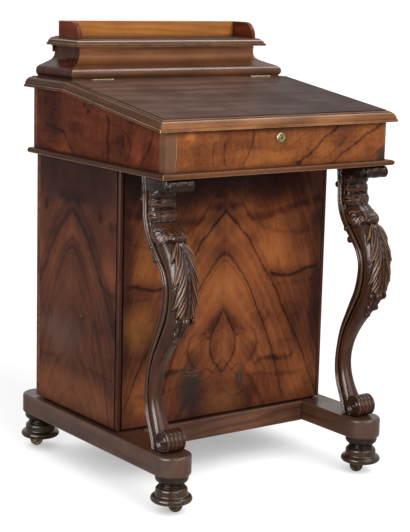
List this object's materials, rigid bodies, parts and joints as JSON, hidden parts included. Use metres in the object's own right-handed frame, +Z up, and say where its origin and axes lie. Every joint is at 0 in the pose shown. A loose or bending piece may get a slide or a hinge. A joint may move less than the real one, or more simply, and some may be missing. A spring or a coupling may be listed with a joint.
{
  "type": "davenport desk",
  "caption": "Small writing desk with a sloping hinged lid, ogee stationery box and gallery, on a pedestal of side drawers with carved scroll legs, sledge base, turned feet and castors.",
  "frame": {"origin": "on the floor, under the middle of the desk's overall width and length", "axes": "+Z up, -Y the sitter's side with the slope's low edge, +X the sitter's right, where the drawers pull out"},
  "size_m": [0.544, 0.549, 0.854],
  "materials": {
    "figured_walnut": "figured book-matched veneer under old polish",
    "top_walnut": "straight-grained veneer, polish worn grey by use",
    "carved_walnut": "dark polished carved wood",
    "turned_walnut": "turned and polished",
    "drawer_lining_wood": "plain unpolished lining wood",
    "aged_brass": "tarnished brass",
    "lock_steel": "dull iron lock"
  },
  "bodies": {
    "desk": {"box_back": "figured_walnut", "box_base_moulding": "figured_walnut", "box_bottom": "drawer_lining_wood", "box_front": "figured_walnut", "box_left_side": "figured_walnut", "box_right_side": "figured_walnut", "bun_feet": "carved_walnut", "castor_sockets": "aged_brass", "corner_beads": "figured_walnut", "drawer_frame": "figured_walnut", "drawer_runners": "drawer_lining_wood", "hinge_fixed_leaves": "aged_brass", "hinge_pins": "aged_brass", "keyhole_escutcheon": "aged_brass", "leg_left": "carved_walnut", "leg_right": "carved_walnut", "lock_case": "lock_steel", "pedestal_back": "figured_walnut", "pedestal_bottom": "drawer_lining_wood", "pedestal_front": "figured_walnut", "pedestal_left": "figured_walnut", "pigeonhole_nest": "drawer_lining_wood", "runner_left": "carved_walnut", "runner_right": "carved_walnut", "stationery_back": "drawer_lining_wood", "stationery_dividers": "drawer_lining_wood", "stationery_ends": "figured_walnut", "stationery_front": "figured_walnut", "stretchers": "carved_walnut", "top_board": "top_walnut"},
    "slope_lid": {"slope_lid_panel": "top_walnut", "slope_lid_moulding": "top_walnut", "slope_hinge_moving_leaves": "aged_brass", "lock_strike": "lock_steel"},
    "stationery_lid": {"stationery_lid": "figured_walnut", "gallery": "figured_walnut", "cover_hinge_moving_leaves": "aged_brass"},
    "drawer_1": {"drawer_1_front": "figured_walnut", "drawer_1_tray": "drawer_lining_wood", "drawer_1_knobs": "turned_walnut"},
    "drawer_2": {"drawer_2_front": "figured_walnut", "drawer_2_tray": "drawer_lining_wood", "drawer_2_knobs": "turned_walnut"},
    "drawer_3": {"drawer_3_front": "figured_walnut", "drawer_3_tray": "drawer_lining_wood", "drawer_3_knobs": "turned_walnut"},
    "drawer_4": {"drawer_4_front": "figured_walnut", "drawer_4_tray": "drawer_lining_wood", "drawer_4_knobs": "turned_walnut"},
    "small_drawer_left": {"small_drawer_left": "figured_walnut"},
    "small_drawer_right": {"small_drawer_right": "figured_walnut"},
    "lock_bolt": {"lock_bolt": "lock_steel"},
    "castor_front_left": {"castor_horn_front_left": "aged_brass"},
    "wheel_front_left": {"castor_wheel_front_left": "aged_brass"},
    "castor_front_right": {"castor_horn_front_right": "aged_brass"},
    "wheel_front_right": {"castor_wheel_front_right": "aged_brass"},
    "castor_rear_left": {"castor_horn_rear_left": "aged_brass"},
    "wheel_rear_left": {"castor_wheel_rear_left": "aged_brass"},
    "castor_rear_right": {"castor_horn_rear_right": "aged_brass"},
    "wheel_rear_right": {"castor_wheel_rear_right": "aged_brass"}
  },
  "joints": [
    {"name": "slope_lid_hinge", "type": "hinge", "parent": "desk", "child": "slope_lid", "pos_m": [0, 0.0766, 0.748], "axis": [-1, 0, 0], "range_deg": [0, 110]},
    {"name": "stationery_lid_hinge", "type": "hinge", "parent": "desk", "child": "stationery_lid", "pos_m": [0, 0.2224, 0.808], "axis": [-1, 0, 0], "range_deg": [0, 100]},
    {"name": "drawer_1_slide", "type": "slide", "parent": "desk", "child": "drawer_1", "axis": [1, 0, 0], "range_m": [0, 0.32]},
    {"name": "drawer_2_slide", "type": "slide", "parent": "desk", "child": "drawer_2", "axis": [1, 0, 0], "range_m": [0, 0.32]},
    {"name": "drawer_3_slide", "type": "slide", "parent": "desk", "child": "drawer_3", "axis": [1, 0, 0], "range_m": [0, 0.32]},
    {"name": "drawer_4_slide", "type": "slide", "parent": "desk", "child": "drawer_4", "axis": [1, 0, 0], "range_m": [0, 0.32]},
    {"name": "small_drawer_left_slide", "type": "slide", "parent": "desk", "child": "small_drawer_left", "axis": [0, -1, 0], "range_m": [0, 0.065]},
    {"name": "small_drawer_right_slide", "type": "slide", "parent": "desk", "child": "small_drawer_right", "axis": [0, -1, 0], "range_m": [0, 0.065]},
    {"name": "lock_bolt_slide", "type": "slide", "parent": "desk", "child": "lock_bolt", "axis": [0, 0, 1], "range_m": [0, 0.006]},
    {"name": "castor_front_left_swivel", "type": "hinge", "parent": "desk", "child": "castor_front_left", "pos_m": [-0.2245, -0.2314, 0], "axis": [0, 0, 1], "continuous": true},
    {"name": "wheel_front_left_roll", "type": "hinge", "parent": "castor_front_left", "child": "wheel_front_left", "pos_m": [-0.21677, -0.23347, 0.013], "axis": [0.2588, 0.9659, 0], "continuous": true},
    {"name": "castor_front_right_swivel", "type": "hinge", "parent": "desk", "child": "castor_front_right", "pos_m": [0.2245, -0.2314, 0], "axis": [0, 0, 1], "continuous": true},
    {"name": "wheel_front_right_roll", "type": "hinge", "parent": "castor_front_right", "child": "wheel_front_right", "pos_m": [0.21677, -0.22933, 0.013], "axis": [-0.2588, -0.9659, 0], "continuous": true},
    {"name": "castor_rear_left_swivel", "type": "hinge", "parent": "desk", "child": "castor_rear_left", "pos_m": [-0.2245, 0.2366, 0], "axis": [0, 0, 1], "continuous": true},
    {"name": "wheel_rear_left_roll", "type": "hinge", "parent": "castor_rear_left", "child": "wheel_rear_left", "pos_m": [-0.22964, 0.24273, 0.013], "axis": [-0.766, -0.6428, 0], "continuous": true},
    {"name": "castor_rear_right_swivel", "type": "hinge", "parent": "desk", "child": "castor_rear_right", "pos_m": [0.2245, 0.2366, 0], "axis": [0, 0, 1], "continuous": true},
    {"name": "wheel_rear_right_roll", "type": "hinge", "parent": "castor_rear_right", "child": "wheel_rear_right", "pos_m": [0.2285, 0.24353, 0.013], "axis": [-0.866, 0.5, 0], "continuous": true}
  ]
}
